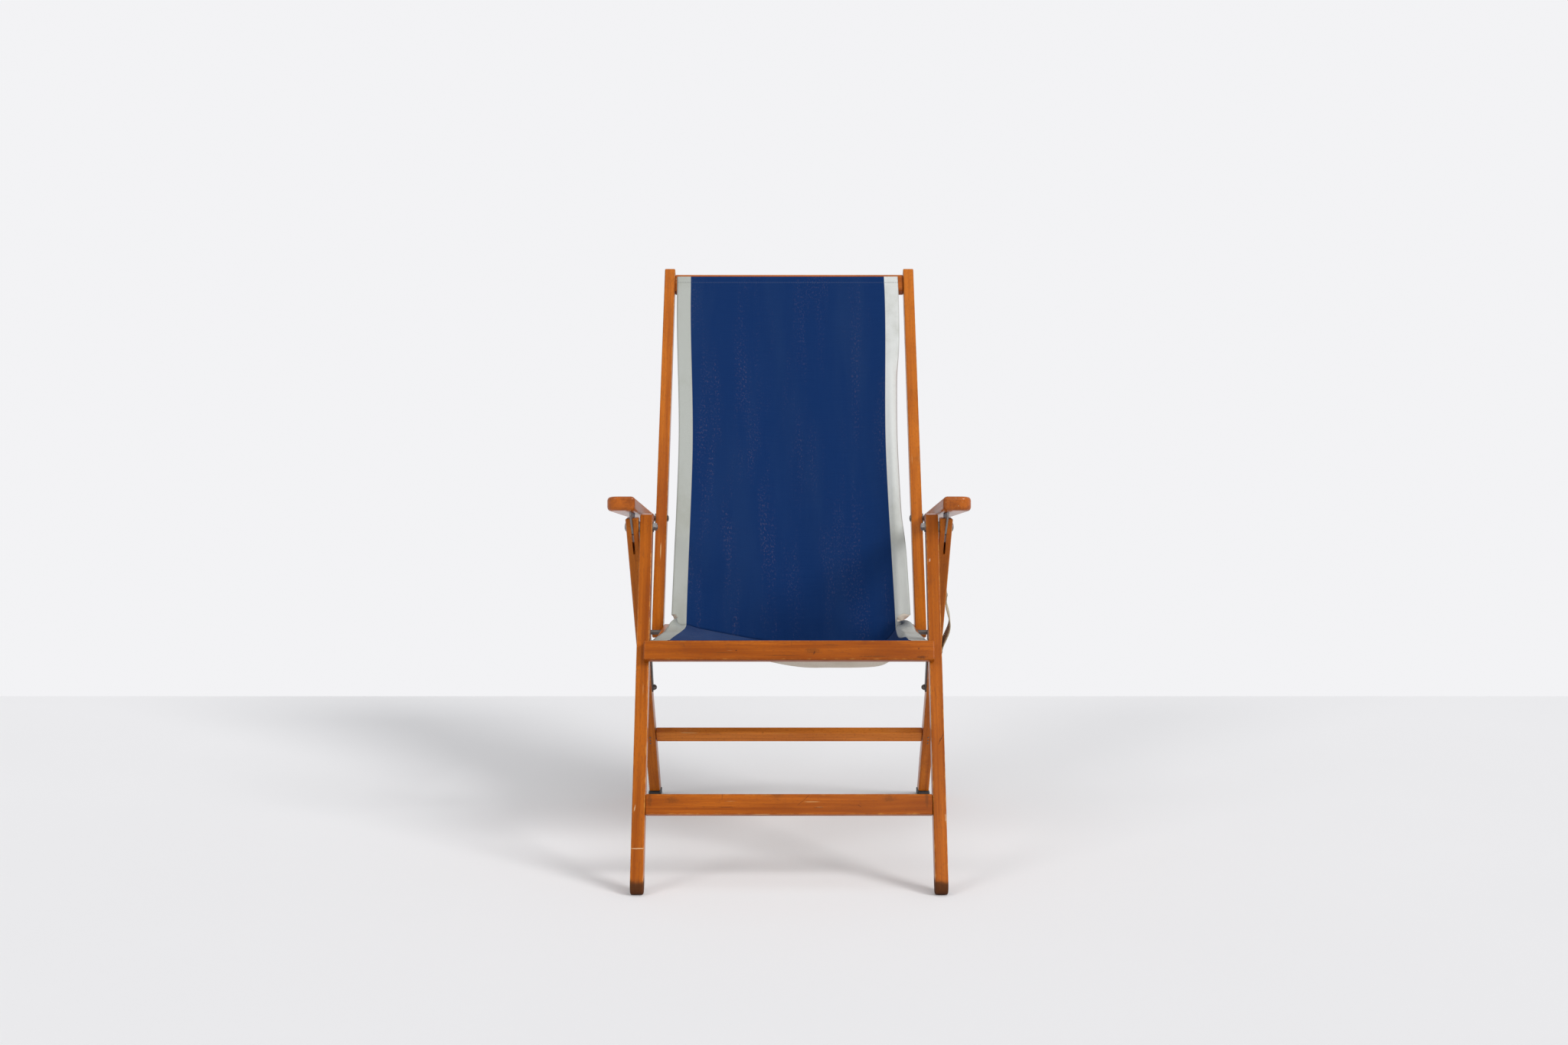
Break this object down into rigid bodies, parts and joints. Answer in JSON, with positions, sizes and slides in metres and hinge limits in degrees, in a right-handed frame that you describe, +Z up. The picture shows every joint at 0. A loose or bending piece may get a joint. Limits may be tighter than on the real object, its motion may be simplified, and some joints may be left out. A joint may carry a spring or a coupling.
{
  "type": "folding sling chair",
  "caption": "Folding wooden armchair for a patio with a striped canvas sling, pivoting legs, seat and back, and steel stays.",
  "frame": {"origin": "on the floor, under the middle of the chair's width and depth, unfolded", "axes": "+Z up, -Y towards the front of the chair, +X to the right as seen from the front"},
  "size_m": [0.624, 0.9136, 1.0847],
  "materials": {
    "beech": "worn clear varnish over orange-brown beech",
    "canvas": "faded blue cotton canvas with grey stripes along both edges",
    "rubber": "matt black",
    "webbing": "beige woven webbing",
    "dark_steel": "dull darkened steel",
    "steel": "zinc plated, slightly dull"
  },
  "bodies": {
    "front_frame": {"front_leg_left": "beech", "front_leg_right": "beech", "front_stretcher": "beech", "seat_front_rail": "beech", "leg_pivot_bolt_left": "steel", "leg_pivot_bolt_right": "steel", "leg_pivot_nut_left": "steel", "leg_pivot_nut_right": "steel", "leg_pivot_washer_left": "steel", "leg_pivot_washer_right": "steel", "seat_pivot_bolt_left": "dark_steel", "seat_pivot_bolt_right": "dark_steel"},
    "rear_frame": {"rear_leg_left": "beech", "rear_leg_right": "beech", "rear_stretcher": "beech", "rear_foot_left": "rubber", "rear_foot_right": "rubber", "carry_strap": "webbing", "strap_screw_upper": "steel", "strap_screw_lower": "steel"},
    "arms": {"armrest_left": "beech", "armrest_right": "beech", "arm_hinge_plate_left": "steel", "arm_hinge_plate_right": "steel"},
    "back": {"back_post_left": "beech", "back_post_right": "beech", "top_rail": "beech", "arm_bolt_left": "steel", "arm_bolt_right": "steel", "arm_washer_left": "steel", "arm_washer_right": "steel", "canvas_back": "canvas"},
    "seat": {"seat_side_bar_left": "beech", "seat_side_bar_right": "beech", "seat_rear_rail": "beech", "back_pivot_bolt_left": "dark_steel", "back_pivot_bolt_right": "dark_steel", "stay_bolt_left": "dark_steel", "stay_bolt_right": "dark_steel", "canvas_seat": "canvas"},
    "stays": {"stay_strap_left": "dark_steel", "stay_strap_right": "dark_steel", "stay_knob_left": "steel", "stay_knob_right": "steel"}
  },
  "joints": [
    {"name": "rear_frame_fold", "type": "hinge", "parent": "front_frame", "child": "rear_frame", "pos_m": [0, -0.21596, 0.589], "axis": [-1, 0, 0], "range_deg": [0, 60]},
    {"name": "arm_fold", "type": "hinge", "parent": "front_frame", "child": "arms", "pos_m": [0, -0.21596, 0.589], "axis": [-1, 0, 0], "range_deg": [0, 74.5]},
    {"name": "seat_fold", "type": "hinge", "parent": "front_frame", "child": "seat", "pos_m": [0, -0.29968, 0.376], "axis": [-1, 0, 0], "range_deg": [0, 83.2]},
    {"name": "back_fold", "type": "hinge", "parent": "seat", "child": "back", "pos_m": [0, 0.04997, 0.373], "axis": [1, 0, 0], "range_deg": [0, 76.86], "deforming": ["canvas_back"]},
    {"name": "stay_fold", "type": "hinge", "parent": "seat", "child": "stays", "pos_m": [0, 0.01227, 0.37332], "axis": [-1, 0, 0], "range_deg": [0, 86.19]}
  ],
  "couplings": [
    {"joint": "arm_fold", "follows": "rear_frame_fold", "ratio": 1.2417},
    {"joint": "seat_fold", "follows": "rear_frame_fold", "ratio": 1.3867},
    {"joint": "back_fold", "follows": "rear_frame_fold", "ratio": 1.281},
    {"joint": "stay_fold", "follows": "rear_frame_fold", "ratio": 1.4365}
  ]
}
